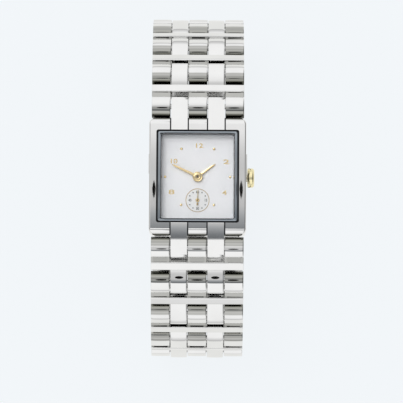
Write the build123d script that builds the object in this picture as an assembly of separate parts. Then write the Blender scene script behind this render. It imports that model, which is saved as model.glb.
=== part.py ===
from build123d import *
import math
import os

# A slim rectangular bracelet watch with a small seconds dial, closed on its folding clasp.
# Millimetres. +Z out of the dial, +Y to 12 o'clock, +X to 3 o'clock and the crown.
# The origin is the middle of the clasp's flat underside, on the surface that the watch stands on.

os.makedirs("parts", exist_ok=True)

# Bracelet: five columns, three knuckles and two fingers to a link
bracelet_width = 22.0
odd_column_width = 4.45
even_column_width = 3.9
link_pitch = 8.4
link_thickness = 3.3
knuckle_half_length = 2.45
knuckle_round = 0.9
knuckle_rise = 0.45
finger_round = 1.0
finger_rise = 0.22
band_start = 3.3
band_end = 5.25
band_round = 0.55
band_rise = 0.11
groove_web = 1.9
link_slopes = (14.5, 34, 50, 74, 115, 158, 180)
link_pin_radius = 0.6
pin_end_inset = 0.35

# Clearances and overruns
shaft_gap = 0.03
flat_gap = 0.1
running_gap = 0.3
overrun = 1.0

# Case
case_width = 23.1
case_half_length = 14.1
case_rise = 2.2
case_drop = 3.3
case_pin_row = 16.9
frame_side_round = 0.4
frame_end_round = 1.6
finger_bend_row = 15.1
finger_first_drop = 0.76
finger_slope = 16.0
case_finger_round = 0.85
recess_width = 19.7
recess_length = 22.2
recess_depth = 1.0
corner_radius = 0.5
column_groove_width = 0.3
column_groove_depth = 0.9

# Bezel ring, crystal and gasket
ring_width = 19.0
ring_length = 21.5
ring_stand = 0.12
ring_round = 0.45
crystal_width = 17.3
crystal_length = 20.2
crystal_thickness = 1.0
crystal_stand = 0.1
gasket_wall = 0.15
window_width = 17.0
window_length = 19.9

# Dial and hands
dial_depth = 2.3
dial_thickness = 0.4
dial_margin = 0.45
dot_radius = 0.33
dot_height = 0.15
dot_column = 7.75
dot_row = 6.72
dot_inner_column = 4.0
centre_hole_radius = 0.95
hour_hand_length = 5.2
hour_hand_width = 0.62
hour_hand_lift = 0.3
minute_hand_length = 6.8
minute_hand_width = 0.55
minute_hand_lift = 0.65
hand_thickness = 0.14
hand_tail_share = 0.22
hand_tip_share = 0.3
hub_radius = 0.62
seconds_hand_length = 2.5
seconds_hand_width = 0.2
seconds_tail_length = 1.1
seconds_hub_radius = 0.36
seconds_hand_lift = 0.25
hour_hand_angle = -54.0
minute_hand_angle = 64.6
seconds_hand_angle = -2.5

# Movement
movement_width = 15.15
movement_length = 17.8
movement_thickness = 2.4
movement_corner = 2.0
holder_wall = 1.0
holder_thickness = 1.6
plate_thickness = 0.7
seconds_inset = 3.3
battery_radius_share = 0.191
battery_thickness = 1.4
battery_column = -3.5
battery_row_share = 0.27
coil_length = 8.5
coil_radius = 0.65
coil_core_length = 11.0
coil_core_width = 1.5
coil_core_thickness = 0.5
coil_inset = 1.35
board_width = 4.6
board_length_share = 0.303
board_thickness = 0.4
board_column = 4.2
board_row_share = 0.247
wheel_thickness = 0.18
wheel_tooth_depth = 0.16
centre_wheel_radius = 2.1
centre_wheel_teeth = 40
centre_arbor_radius = 0.22
hour_wheel_radius = 1.75
hour_wheel_teeth = 32
hour_tube_radius = 0.55
hour_tube_wall = 0.16
seconds_wheel_radius = 1.05
seconds_wheel_teeth = 24
seconds_arbor_radius = 0.16
wheel_seat = 0.12

# Crown and stem
crown_radius = 2.3
crown_length = 1.6
crown_round = 0.55
crown_gap = 0.32
crown_bore_length = 0.9
crown_drop = 3.75
stem_radius = 0.4
stem_length = 7.5
tube_radius = 0.95
tube_end_gap = 0.06

# Case back
back_thickness = 0.7
back_width = 20.6
back_length = 25.2
back_corner = 1.5
back_gasket_wall = 0.5
back_gasket_height = 0.35
back_gasket_inset = 1.35
screw_radius = 0.5
screw_head_radius = 0.85
screw_head_height = 0.35
screw_length = 1.6
screw_inset = 1.35
slot_width = 0.25
slot_depth = 0.18

# Clasp
cover_plate = 0.8
cover_wall = 0.9
cover_height = 3.3
cover_end = 15.3
cover_round = 0.5
cover_lug_width = 4.3
fold_pin_row = 14.0
fold_pin_height = 1.95
fold_barrel_radius = 0.9
fold_pin_radius = 0.4
inner_pin_row = -2.0
inner_pin_height = 2.5
inner_barrel_radius = 1.15
middle_blade_width = 13.0
middle_blade_base = 1.25
blade_thickness = 0.7
inner_blade_width = 9.0
inner_blade_base = 3.0
end_lug_radius = 1.45
neck_start = 13.0
neck_bend = 15.4
cover_side_room = 3.6
cover_knuckle_gap = 0.2
notch_width = 6.4
notch_depth = 2.6
spring_bar_radius = 0.55
button_row = 7.0
button_height = 2.0
button_length = 5.0
button_tall = 1.4
button_stand = 0.7
button_travel = 0.5
button_stem = 1.5
button_catch_length = 2.4
button_catch_tall = 1.2
button_spring_radius = 0.35
button_spring_length = 1.1
button_post_width = 0.6
button_post_length = 1.2
button_round_share = 0.3

# Places worked out from the sizes above
arc_corner_share = 1 - math.sqrt(1 / 2)
link_half = link_thickness / 2
clasp_pin_height = link_half


def run_of(slopes, along):
    """Sum of the steps from pin to pin, level or downward, over the given slopes."""
    return sum(link_pitch * along(math.radians(slope)) for slope in slopes)


pin_z = clasp_pin_height + run_of(link_slopes, math.sin)
clasp_pin_row = case_pin_row + run_of(link_slopes, math.cos)
case_top = pin_z + case_rise
case_base = pin_z - case_drop
back_base = case_base - back_thickness
dial_top = case_top - dial_depth
dial_base = dial_top - dial_thickness
movement_base = dial_base - movement_thickness
crown_z = case_top - crown_drop
odd_columns = [-(bracelet_width - odd_column_width) / 2, 0, (bracelet_width - odd_column_width) / 2]
even_columns = [odd_columns[0] / 2, odd_columns[-1] / 2]
seconds_drop = movement_length / 2 - seconds_inset
battery_radius = movement_length * battery_radius_share
battery_row = movement_length * battery_row_share
coil_row = coil_inset - movement_length / 2
board_length = movement_length * board_length_share
board_row = movement_length * board_row_share
cavity_width = movement_width + holder_wall * 2 + flat_gap
cavity_length = movement_length + holder_wall * 2 + flat_gap
crown_base = case_width / 2 + crown_gap
tube_start = (cavity_width + case_width) / 4
tube_end = crown_base - tube_end_gap
cover_inside = middle_blade_width / 2 + cover_side_room
cover_side = cover_inside + cover_wall
cover_knuckle_width = cover_side_room - cover_knuckle_gap
spring_end = cover_inside - flat_gap * 2 - button_stand - button_travel
spring_start = spring_end - button_spring_length
post_start = spring_start - button_post_width
parts = {}


def section(outline, width, centre=0):
    """A closed outline in the YZ plane pushed out to a width about a column's centre."""
    face = make_face(Plane.YZ * outline)
    return Pos(centre, 0, 0) * extrude(face, amount=width / 2, both=True)


def crowned_bar(start, end, radius, rise):
    """Side outline of a bar with round corners and a crowned outer face that runs smoothly into them."""
    top = link_half
    r = radius
    low = top - rise - r
    middle = (start + end) / 2
    reach = (end - start) / 2 - r
    crown = (reach ** 2 + (r + rise) ** 2 - r ** 2) / (2 * rise)
    lean = math.asin(reach / (crown - r))
    side = (lean + math.pi / 2) / 2
    foot = r * arc_corner_share
    join_y, join_z = crown * math.sin(lean), top - crown * (1 - math.cos(lean))
    bend_y, bend_z = reach + r * math.sin(side), low + r * math.cos(side)
    return (
        Line((start, r - top), (start, low))
        + ThreePointArc((start, low), (middle - bend_y, bend_z), (middle - join_y, join_z))
        + ThreePointArc((middle - join_y, join_z), (middle, top), (middle + join_y, join_z))
        + ThreePointArc((middle + join_y, join_z), (middle + bend_y, bend_z), (end, low))
        + Line((end, low), (end, r - top))
        + ThreePointArc((end, r - top), (end - foot, foot - top), (end - r, -top))
        + Line((end - r, -top), (start + r, -top))
        + ThreePointArc((start + r, -top), (start + foot, foot - top), (start, r - top))
    )


def block(x0, x1, y0, y1, z0, z1):
    """A plain block between two corners."""
    size = Box(x1 - x0, y1 - y0, z1 - z0)
    return Pos((x0 + x1) / 2, (y0 + y1) / 2, (z0 + z1) / 2) * size


def rod(radius, length, y=0, z=0, x=0):
    """A round rod along X about a point."""
    return Pos(x, y, z) * Rot(0, 90, 0) * Cylinder(radius, length)


def frame_plate(width, length, z0, z1, radius=0):
    """A rectangular plate between two heights with rounded corners."""
    outline = RectangleRounded(width, length, radius) if radius else Rectangle(width, length)
    return Pos(0, 0, z0) * extrude(outline, amount=z1 - z0)


def side_place(side, row, height, slope):
    """Where a link sits: its pin's row and height, turned down by its slope, on the 12 or 6 o'clock side."""
    turn = Rot(0, 0, 0) if side > 0 else Rot(0, 0, 180)
    return turn * Pos(0, row, height) * Rot(-slope, 0, 0)


def pin_places():
    """Row and height of each link's first pin, and the clasp's pin last."""
    row, height = case_pin_row, pin_z
    places = [(row, height)]
    for slope in link_slopes:
        row += link_pitch * math.cos(math.radians(slope))
        height -= link_pitch * math.sin(math.radians(slope))
        places.append((row, height))
    return places


def make_link():
    """One bracelet link about its first pin: three knuckles, a band across and two fingers."""
    link_end = link_pitch + knuckle_half_length
    band = crowned_bar(band_start, band_end, band_round, band_rise)
    link = section(band, bracelet_width)
    for column in odd_columns:
        knuckle = crowned_bar(-knuckle_half_length, knuckle_half_length, knuckle_round, knuckle_rise)
        web = block(column - odd_column_width / 2, column + odd_column_width / 2,
                    knuckle_half_length - knuckle_round, band_start + band_round,
                    -link_half, groove_web - link_half)
        link += section(knuckle, odd_column_width, column) + web
    for column in even_columns:
        finger = crowned_bar(band_start + band_round, link_end, finger_round, finger_rise)
        link += section(finger, even_column_width, column)
        link -= rod(link_pin_radius + shaft_gap, even_column_width + overrun, link_pitch, 0, column)
    return link - rod(link_pin_radius, bracelet_width + overrun)


def make_link_pin():
    """A straight steel pin through one row of knuckles and fingers."""
    return rod(link_pin_radius, bracelet_width - pin_end_inset - pin_end_inset)


def link_solids():
    """Fourteen links and their pins, each link carried on the pin at its case end."""
    link, pin = make_link(), make_link_pin()
    places = pin_places()
    for side, name in ((1, "upper"), (-1, "lower")):
        for number, slope in enumerate(link_slopes):
            place = side_place(side, *places[number], slope)
            parts[f"{name}_link_{number + 1}"] = place * link
            parts[f"{name}_pin_{number + 1}"] = place * pin


def case_finger(side, column):
    """A case finger that slopes down from the frame and bends once more towards its pin."""
    bend, bend_z = finger_bend_row, case_top - finger_first_drop
    tip = case_pin_row + knuckle_half_length
    r = case_finger_round
    shoulder = bend_z - math.tan(math.radians(finger_slope)) * (tip - r - bend)
    low = pin_z - link_half
    corner = r * arc_corner_share
    outline = (
        Line((recess_length / 2, low), (recess_length / 2, case_top))
        + Line((recess_length / 2, case_top), (bend, bend_z))
        + Line((bend, bend_z), (tip - r, shoulder))
        + ThreePointArc((tip - r, shoulder), (tip - corner, shoulder - corner), (tip, shoulder - r))
        + Line((tip, shoulder - r), (tip, low + r))
        + ThreePointArc((tip, low + r), (tip - corner, low + corner), (tip - r, low))
        + Line((tip - r, low), (recess_length / 2, low))
    )
    finger = section(outline, even_column_width, column)
    finger -= rod(link_pin_radius + shaft_gap, even_column_width + overrun, case_pin_row, pin_z, column)
    return finger if side > 0 else Rot(0, 0, 180) * finger


def make_case():
    """The case frame with its polished sides, end blocks, fingers and recesses."""
    body = frame_plate(case_width, case_half_length * 2, case_base, case_top)
    long_edges = body.edges().filter_by(Axis.Y).group_by(Axis.Z)[-1]
    body = fillet(long_edges, frame_side_round)
    end_edges = body.edges().filter_by(Axis.X).group_by(Axis.Z)[-1]
    body = fillet(end_edges, frame_end_round)
    near, far, roof = recess_length / 2, case_half_length + overrun, case_top + overrun
    for side in (1, -1):
        turn = Rot(0, 0, 0) if side > 0 else Rot(0, 0, 180)
        for column in even_columns:
            half_slot = even_column_width / 2
            body -= turn * block(column - half_slot, column + half_slot, near, far, pin_z - link_half, roof)
            body += case_finger(side, column)
            for edge in (1, -1):
                x = column + edge * (even_column_width + column_groove_width) / 2
                x0, x1 = x - column_groove_width / 2, x + column_groove_width / 2
                body -= turn * block(x0, x1, near, far, case_top - column_groove_depth, roof)
    ledge = case_top - recess_depth
    seat = dial_base - holder_thickness
    body -= frame_plate(recess_width, recess_length, ledge, case_top + overrun, corner_radius)
    well_width, well_length = crystal_width + holder_wall, crystal_length + holder_wall
    body -= frame_plate(well_width, well_length, seat, case_top, corner_radius)
    body -= frame_plate(cavity_width, cavity_length, case_base - overrun, ledge, movement_corner)
    body -= frame_plate(back_width, back_length, case_base - overrun, case_base, back_corner)
    body -= rod(tube_radius, case_width, 0, crown_z, case_width / 2)
    for x, y in screw_places():
        body -= Pos(x, y, case_base) * Cylinder(screw_radius, screw_length * 2)
    return body


def screw_places():
    """The four case back screws, one near each corner."""
    x = back_width / 2 - screw_inset
    y = back_length / 2 - screw_inset
    return [(sx * x, sy * y) for sx in (1, -1) for sy in (1, -1)]


def make_ring():
    """The polished ring around the crystal, with the ledge that the crystal rests on."""
    top, base = case_top + ring_stand, dial_top
    ring = frame_plate(ring_width, ring_length, case_top - recess_depth, top, corner_radius)
    ring = fillet(ring.edges().group_by(Axis.Z)[-1], ring_round)
    ledge = crystal_top() - crystal_thickness
    opening_w = crystal_width + gasket_wall * 2
    opening_l = crystal_length + gasket_wall * 2
    ring += frame_plate(opening_w, opening_l, base, case_top - recess_depth, corner_radius)
    ring -= frame_plate(opening_w, opening_l, ledge, top + overrun, corner_radius)
    return ring - frame_plate(window_width, window_length, base - overrun, top, corner_radius)


def crystal_top():
    """Height of the crystal's outer face."""
    return case_top + crystal_stand


def make_crystal():
    """The flat mineral crystal."""
    top = crystal_top()
    return frame_plate(crystal_width, crystal_length, top - crystal_thickness, top, corner_radius)


def make_crystal_gasket():
    """The thin seal pressed between the crystal's edge and its ring."""
    top = crystal_top() - crystal_stand
    base = crystal_top() - crystal_thickness
    outer_w, outer_l = crystal_width + gasket_wall * 2, crystal_length + gasket_wall * 2
    outer = frame_plate(outer_w, outer_l, base, top, corner_radius)
    return outer - frame_plate(crystal_width, crystal_length, base - overrun, top + overrun, corner_radius)


def make_dial():
    """The dial plate with its holes for the hands."""
    width, length = window_width + dial_margin, window_length + dial_margin
    dial = frame_plate(width, length, dial_base, dial_top, corner_radius)
    for y, radius in ((0, centre_hole_radius), (-seconds_drop, seconds_hub_radius)):
        dial -= Pos(0, y, dial_base) * Cylinder(radius, dial_thickness * 2 + overrun)
    return dial


def make_dots():
    """The applied hour dots at 1, 3, 5, 7, 9 and 11."""
    dot = Cylinder(dot_radius, dot_height)
    z = dial_top + dot_height / 2
    dots = [Pos(side * dot_column, 0, z) * dot for side in (1, -1)]
    dots += [Pos(side * dot_inner_column, end * dot_row, z) * dot for side in (1, -1) for end in (1, -1)]
    return Compound(children=dots)


def hand_blade(length, width, thickness):
    """A slim baton hand along +Y with a round hub and a tapered tip."""
    tail = length * hand_tail_share
    tip = width * hand_tip_share
    outline = Polyline((-width / 2, -tail), (-width / 2, 0), (-tip, length), (tip, length),
                       (width / 2, 0), (width / 2, -tail), close=True)
    blade = extrude(make_face(outline), amount=thickness)
    return blade + Pos(0, 0, thickness / 2) * Cylinder(hub_radius, thickness)


def gear_disc(radius, teeth, thickness):
    """A small toothed wheel with triangular teeth, its underside at zero."""
    root = radius - wheel_tooth_depth
    points = []
    for n in range(teeth):
        for step, r in ((0, root), (1 / 2, radius)):
            a = math.radians(360 * (n + step) / teeth)
            points.append((r * math.cos(a), r * math.sin(a)))
    return extrude(make_face(Polyline(*points, close=True)), amount=thickness)


def hand_and_wheel_solids():
    """The three hands and the wheels that carry them."""
    lift = dial_top + minute_hand_lift
    blade = hand_blade(minute_hand_length, minute_hand_width, hand_thickness)
    blade -= Cylinder(centre_arbor_radius, overrun * 2)
    parts["minute_hand"] = Pos(0, 0, lift) * Rot(0, 0, minute_hand_angle) * blade
    wheel_z = movement_base + plate_thickness + wheel_seat
    arbor_top = lift + hand_thickness + flat_gap
    arbor = Pos(0, 0, (wheel_z + arbor_top) / 2) * Cylinder(centre_arbor_radius, arbor_top - wheel_z)
    disc = Pos(0, 0, wheel_z) * gear_disc(centre_wheel_radius, centre_wheel_teeth, wheel_thickness)
    parts["centre_wheel"] = disc + arbor

    lift = dial_top + hour_hand_lift
    tube_bore = hour_tube_radius - hour_tube_wall
    blade = hand_blade(hour_hand_length, hour_hand_width, hand_thickness)
    blade -= Cylinder(hour_tube_radius, overrun * 2)
    parts["hour_hand"] = Pos(0, 0, lift) * Rot(0, 0, hour_hand_angle) * blade
    wheel_z = dial_base - wheel_thickness - wheel_seat
    tube_top = lift + hand_thickness + flat_gap / 2
    tube = Pos(0, 0, (wheel_z + tube_top) / 2) * Cylinder(hour_tube_radius, tube_top - wheel_z)
    hour_wheel = Pos(0, 0, wheel_z) * gear_disc(hour_wheel_radius, hour_wheel_teeth, wheel_thickness) + tube
    parts["hour_wheel"] = hour_wheel - Pos(0, 0, wheel_z) * Cylinder(tube_bore, movement_thickness * 2)

    lift = dial_top + seconds_hand_lift
    w = seconds_hand_width / 2
    outline = Polyline((-w, -seconds_tail_length), (-w / 2, seconds_hand_length),
                       (w / 2, seconds_hand_length), (w, -seconds_tail_length), close=True)
    blade = extrude(make_face(outline), amount=hand_thickness)
    for y, radius in ((0, seconds_hub_radius), (-seconds_tail_length, seconds_hub_radius / 2)):
        blade += Pos(0, y, hand_thickness / 2) * Cylinder(radius, hand_thickness)
    blade -= Cylinder(seconds_arbor_radius, overrun * 2)
    place = Pos(0, -seconds_drop, lift) * Rot(0, 0, seconds_hand_angle)
    parts["seconds_hand"] = place * blade
    wheel_z = movement_base + plate_thickness + wheel_seat
    arbor_top = lift + hand_thickness + flat_gap / 2
    arbor = Pos(0, 0, (wheel_z + arbor_top) / 2) * Cylinder(seconds_arbor_radius, arbor_top - wheel_z)
    disc = Pos(0, 0, wheel_z) * gear_disc(seconds_wheel_radius, seconds_wheel_teeth, wheel_thickness)
    parts["seconds_wheel"] = Pos(0, -seconds_drop, 0) * (disc + arbor)


def movement_solids():
    """The small quartz movement: plates, battery, coil and circuit board in their holder."""
    base, top = movement_base, dial_base - flat_gap
    plate = frame_plate(movement_width, movement_length, base, base + plate_thickness, movement_corner)
    rim = frame_plate(movement_width, movement_length, base, top, movement_corner)
    well = frame_plate(movement_width - holder_wall, movement_length - holder_wall,
                       base + plate_thickness, top + overrun, movement_corner)
    plate += rim - well
    battery_place = Pos(battery_column, battery_row, base)
    battery_hole = battery_place * Cylinder(battery_radius + flat_gap, plate_thickness * 2 + overrun)
    for y, radius in ((0, centre_arbor_radius), (-seconds_drop, seconds_arbor_radius)):
        plate -= Pos(0, y, base + plate_thickness) * Cylinder(radius, wheel_seat)
    stem_cut = rod(stem_radius + shaft_gap, stem_length * 2, 0, crown_z, movement_width / 2)
    parts["movement_plate"] = plate - battery_hole - stem_cut

    outer_w, outer_l = movement_width + holder_wall * 2, movement_length + holder_wall * 2
    holder = frame_plate(outer_w, outer_l, top - holder_thickness, top, movement_corner)
    hole = frame_plate(movement_width + flat_gap, movement_length + flat_gap,
                       base - overrun, top + overrun, movement_corner)
    stem_hole = rod(stem_radius + shaft_gap, case_width, 0, crown_z, case_width / 2)
    parts["movement_holder"] = holder - hole - stem_hole

    cell_place = battery_place * Pos(0, 0, battery_thickness / 2 + flat_gap)
    cell = cell_place * Cylinder(battery_radius, battery_thickness)
    parts["battery"] = fillet(cell.edges(), flat_gap)

    coil_z = base + plate_thickness + coil_radius
    winding = rod(coil_radius, coil_length, coil_row, coil_z)
    core = Pos(0, coil_row, coil_z) * Box(coil_core_length, coil_core_width, coil_core_thickness)
    parts["drive_coil"] = winding + core

    board_place = Pos(board_column, board_row, base + plate_thickness + board_thickness / 2)
    parts["circuit_board"] = board_place * Box(board_width, board_length, board_thickness)


def crown_solids():
    """The crown, its stem and the tube that they pass through."""
    tube_length = tube_end - tube_start
    tube_centre = (tube_start + tube_end) / 2
    tube = rod(tube_radius, tube_length, 0, crown_z, tube_centre)
    parts["crown_tube"] = tube - rod(stem_radius + shaft_gap, tube_length + overrun, 0, crown_z, tube_centre)

    crown = rod(crown_radius, crown_length, 0, crown_z, crown_base + crown_length / 2)
    crown = fillet(crown.edges().group_by(Axis.X)[-1], crown_round)
    bore_end = crown_base + crown_bore_length
    bore = rod(stem_radius + shaft_gap, crown_bore_length * 2, 0, crown_z, crown_base)
    parts["crown"] = crown - bore

    stem = rod(stem_radius, stem_length, 0, crown_z, bore_end - flat_gap - stem_length / 2)
    parts["winding_stem"] = stem


def back_solids():
    """The case back, its seal and its four slotted screws."""
    back = frame_plate(back_width, back_length, back_base, case_base, back_corner)
    for x, y in screw_places():
        back -= Pos(x, y, back_base) * Cylinder(screw_head_radius + flat_gap, screw_head_height * 2)
        back -= Pos(x, y, back_base) * Cylinder(screw_radius + flat_gap, back_thickness * 2 + overrun)
    gasket_w, gasket_l = back_width - back_gasket_inset * 2, back_length - back_gasket_inset * 2
    seal = frame_plate(gasket_w, gasket_l, case_base - back_gasket_height, case_base, back_corner)
    seal -= frame_plate(gasket_w - back_gasket_wall * 2, gasket_l - back_gasket_wall * 2,
                        back_base, case_base + overrun, back_corner - back_gasket_wall)
    parts["case_back"] = back - seal
    parts["case_back_gasket"] = seal
    screws = []
    for x, y in screw_places():
        head = Pos(x, y, back_base + screw_head_height / 2) * Cylinder(screw_head_radius, screw_head_height)
        head -= Pos(x, y, back_base) * Box(screw_head_radius * 2, slot_width, slot_depth * 2)
        shank_base = back_base + screw_head_height
        shank = Pos(x, y, shank_base + screw_length / 2) * Cylinder(screw_radius, screw_length)
        screws.append(head + shank)
    parts["case_back_screws"] = Compound(children=screws)


def make_cover():
    """The clasp's outer cover: a plate with side walls, hinge knuckles and button windows."""
    w, inside = cover_side, cover_inside
    near = -(clasp_pin_row - knuckle_half_length - running_gap)
    cover = block(-w, w, near, cover_end, 0, cover_height)
    cover = fillet(cover.edges().filter_by(Axis.Y).group_by(Axis.Z)[0], cover_round)
    cover -= block(-inside, inside, near - overrun, cover_end + overrun, cover_plate, cover_height + overrun)
    cover -= block(-notch_width / 2, notch_width / 2, cover_end - notch_depth, cover_end + overrun,
                   -overrun, cover_height)
    lug_row = -clasp_pin_row
    for column in odd_columns:
        lug = crowned_bar(-knuckle_half_length - overrun, knuckle_half_length, knuckle_round, knuckle_rise)
        solid = Pos(0, lug_row, clasp_pin_height) * Rot(180, 0, 0) * section(lug, cover_lug_width, column)
        cover += solid - rod(link_pin_radius + shaft_gap, bracelet_width + overrun, lug_row, clasp_pin_height)
    for side in (1, -1):
        x = side * (inside - cover_knuckle_width / 2)
        barrel = rod(fold_barrel_radius, cover_knuckle_width, fold_pin_row, fold_pin_height, x)
        foot = Box(cover_knuckle_width, fold_barrel_radius * 2, fold_pin_height - cover_plate)
        foot = Pos(x, fold_pin_row, (cover_plate + fold_pin_height) / 2) * foot
        cover += barrel + foot
        cover -= button_window(side)
        cover += button_post(side)
    return cover - rod(fold_pin_radius + shaft_gap, bracelet_width, fold_pin_row, fold_pin_height)


def button_post(side):
    """The post that a button's spring pushes against, standing on the cover plate."""
    top = button_height + button_catch_tall / 2
    centre = side * (post_start + spring_start) / 2
    solid = Box(spring_start - post_start, button_post_length, top - cover_plate)
    return Pos(centre, button_row, (cover_plate + top) / 2) * solid


def button_window(side):
    """The window in the cover's side wall that a button's shank passes through."""
    x = side * cover_side
    opening = button_stem + flat_gap * 2
    return Pos(x, button_row, button_height) * Box(cover_wall * 2 + overrun, opening, opening)


def make_button(side):
    """A push button: a cap outside the wall, a shank through it and a catch inside."""
    wall = cover_side
    cap_x = wall + button_stand / 2 + button_travel
    cap = Pos(cap_x, button_row, button_height) * Box(button_stand, button_length, button_tall)
    cap = fillet(cap.edges().group_by(Axis.X)[-1], button_stand * button_round_share)
    inner = wall - cover_wall - flat_gap
    shank_length = cap_x - inner
    shank_place = Pos(inner + shank_length / 2, button_row, button_height)
    shank = shank_place * Box(shank_length, button_stem, button_stem)
    catch = Box(button_stand, button_catch_length, button_catch_tall)
    button = cap + shank + Pos(inner - button_stand / 2, button_row, button_height) * catch
    return button if side > 0 else mirror(button, about=Plane.YZ)


def make_button_springs():
    """The two small return springs, each seated on its post behind a button's catch."""
    middle = (spring_start + spring_end) / 2
    length = spring_end - spring_start
    springs = []
    for side in (1, -1):
        springs.append(rod(button_spring_radius, length, button_row, button_height, side * middle))
    return Compound(children=springs)


def make_middle_blade():
    """The middle blade, from the cover's fold pin back to the inner blade's pin."""
    w = middle_blade_width / 2
    base, top = middle_blade_base, middle_blade_base + blade_thickness
    blade = block(-w, w, inner_pin_row, fold_pin_row, base, top)
    blade += rod(fold_barrel_radius, middle_blade_width, fold_pin_row, fold_pin_height)
    blade -= rod(fold_pin_radius, middle_blade_width + overrun, fold_pin_row, fold_pin_height)
    ear = (middle_blade_width - inner_blade_width) / 2 - flat_gap
    for side in (1, -1):
        x = side * (w - ear / 2)
        blade += rod(inner_barrel_radius, ear, inner_pin_row, inner_pin_height, x)
    gap = inner_blade_width / 2 + flat_gap
    blade -= block(-gap, gap, inner_pin_row - inner_barrel_radius - overrun,
                   inner_pin_row + inner_barrel_radius + flat_gap * 2, base - overrun, top + overrun * 2)
    return blade - rod(fold_pin_radius, bracelet_width, inner_pin_row, inner_pin_height)


def make_inner_blade():
    """The inner blade, from its pin to the lug that takes the bracelet's spring bar."""
    w = inner_blade_width / 2
    base, top = inner_blade_base, inner_blade_base + blade_thickness
    blade = block(-w, w, inner_pin_row, neck_start, base, top)
    blade += rod(inner_barrel_radius, inner_blade_width, inner_pin_row, inner_pin_height)
    blade -= rod(fold_pin_radius + shaft_gap, bracelet_width, inner_pin_row, inner_pin_height)
    neck = odd_column_width - running_gap
    row, z = clasp_pin_row, clasp_pin_height
    outline = Polyline((neck_start - blade_thickness, top), (neck_bend, top), (row, z + end_lug_radius),
                       (row, z), (neck_bend, base), (neck_start - blade_thickness, base), close=True)
    blade += section(outline, neck)
    blade += rod(end_lug_radius, neck, row, z)
    return blade - rod(spring_bar_radius, neck + overrun, row, z)


def clasp_solids():
    """The folding clasp, closed: cover, two blades, their pins, the spring bar and the push buttons."""
    parts["clasp_cover"] = make_cover()
    parts["clasp_middle_blade"] = make_middle_blade()
    parts["clasp_inner_blade"] = make_inner_blade()
    long_pin = rod(fold_pin_radius, (cover_inside - flat_gap) * 2, fold_pin_row, fold_pin_height)
    short_pin = rod(fold_pin_radius, middle_blade_width, inner_pin_row, inner_pin_height)
    parts["clasp_blade_pins"] = Compound(children=[long_pin, short_pin])
    pin_length, bar_length = bracelet_width - pin_end_inset * 2, odd_column_width - running_gap
    parts["cover_pin"] = rod(link_pin_radius, pin_length, -clasp_pin_row, clasp_pin_height)
    parts["spring_bar"] = rod(spring_bar_radius, bar_length, clasp_pin_row, clasp_pin_height)
    parts["right_clasp_button"] = make_button(1)
    parts["left_clasp_button"] = make_button(-1)
    parts["clasp_button_springs"] = make_button_springs()


def build():
    """Make every piece and write its file."""
    parts["case"] = make_case()
    pins = [side_place(side, case_pin_row, pin_z, 0) * make_link_pin() for side in (1, -1)]
    parts["case_pins"] = Compound(children=pins)
    parts["bezel_ring"] = make_ring()
    parts["crystal"] = make_crystal()
    parts["crystal_gasket"] = make_crystal_gasket()
    parts["dial"] = make_dial()
    parts["hour_dots"] = make_dots()
    hand_and_wheel_solids()
    movement_solids()
    crown_solids()
    back_solids()
    link_solids()
    clasp_solids()
    for name in ("upper_pin_1", "lower_pin_1"):
        del parts[name]
    for name, solid in parts.items():
        export_step(solid, f"parts/{name}.step")
    print(len(parts), "nodes, clasp pins", clasp_pin_row * 2, "apart, case pins at", pin_z)


build()
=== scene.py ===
import math
import bmesh
import bpy
from mathutils import Matrix, Vector


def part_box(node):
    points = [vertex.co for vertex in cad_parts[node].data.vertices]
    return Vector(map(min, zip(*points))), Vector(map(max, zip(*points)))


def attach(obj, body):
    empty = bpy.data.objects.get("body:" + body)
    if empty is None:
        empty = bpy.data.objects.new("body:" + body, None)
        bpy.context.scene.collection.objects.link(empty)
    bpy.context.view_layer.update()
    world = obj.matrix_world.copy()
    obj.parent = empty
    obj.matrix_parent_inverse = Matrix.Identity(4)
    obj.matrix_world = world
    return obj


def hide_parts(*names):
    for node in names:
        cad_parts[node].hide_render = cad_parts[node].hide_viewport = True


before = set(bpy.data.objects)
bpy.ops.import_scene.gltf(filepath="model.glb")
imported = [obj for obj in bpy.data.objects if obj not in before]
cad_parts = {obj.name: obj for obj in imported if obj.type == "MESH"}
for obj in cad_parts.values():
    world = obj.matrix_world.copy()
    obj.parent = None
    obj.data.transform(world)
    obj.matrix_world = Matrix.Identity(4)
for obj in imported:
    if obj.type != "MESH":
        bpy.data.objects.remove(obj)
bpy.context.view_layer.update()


# The view. The watch stands closed on its clasp on a pale table and is seen from above,
# a little from the 6 o'clock side, from far off with a long lens.
view_distance = 0.8
view_tilt = math.radians(6.4)
view_roll = math.radians(0.3)
view_lens = 300.2
view_aim_right = 0.00095
view_aim_down = 0.0058



def put(name, data):
    """A new object with this data, in the scene."""
    made = bpy.data.objects.new(name, data)
    bpy.context.scene.collection.objects.link(made)
    return made


dial_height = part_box("dial")[1].z
view_up = Vector((0, math.cos(view_tilt), math.sin(view_tilt)))
view_back = Vector((0, -math.sin(view_tilt), math.cos(view_tilt)))
view_aim = Vector((view_aim_right, 0, dial_height)) - view_up * view_aim_down
camera_data = bpy.data.cameras.new("camera")
camera_data.lens = view_lens
camera_data.sensor_width = 36
camera_data.clip_start = 0.01
camera = put("camera", camera_data)
turn = Matrix.Rotation(view_tilt, 4, "X") @ Matrix.Rotation(view_roll, 4, "Z")
camera.matrix_world = Matrix.Translation(view_aim + view_back * view_distance) @ turn
bpy.context.scene.camera = camera
bpy.context.scene.view_settings.view_transform = "Standard"


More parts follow.
